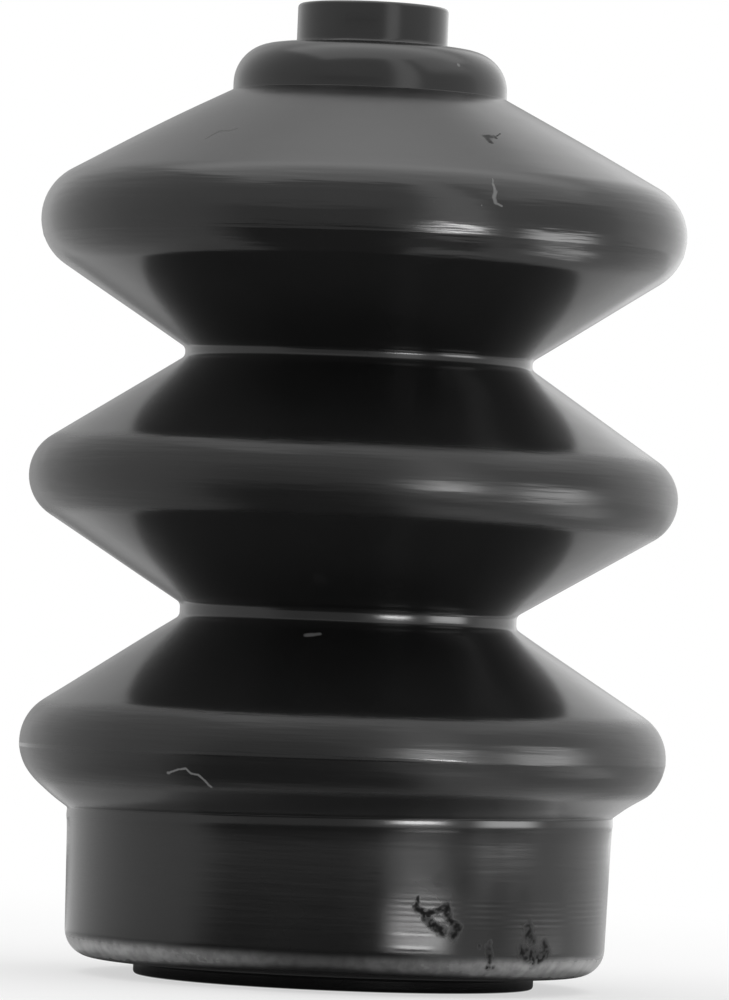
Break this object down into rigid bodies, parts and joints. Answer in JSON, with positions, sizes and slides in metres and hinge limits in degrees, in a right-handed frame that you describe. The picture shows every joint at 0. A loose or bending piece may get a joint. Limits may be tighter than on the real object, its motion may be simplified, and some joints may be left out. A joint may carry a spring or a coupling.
{
  "type": "rubber bellows boot",
  "caption": "Moulded black rubber bellows boot: a wide cuff with a retaining lip, round-tipped folds with tight roots, and a stepped collar and neck that grip a rod.",
  "frame": {"origin": "centre of the foot's resting face, at the bottom of the boot", "axes": "+Z along the boot's axis, from the mouth in the cuff to the neck; the boot is round, so X and Y are free"},
  "size_m": [0.0422, 0.0422, 0.0634],
  "materials": {
    "moulded_rubber": "satin black"
  },
  "bodies": {
    "root": {"bellows_boot": "moulded_rubber"}
  },
  "joints": []
}
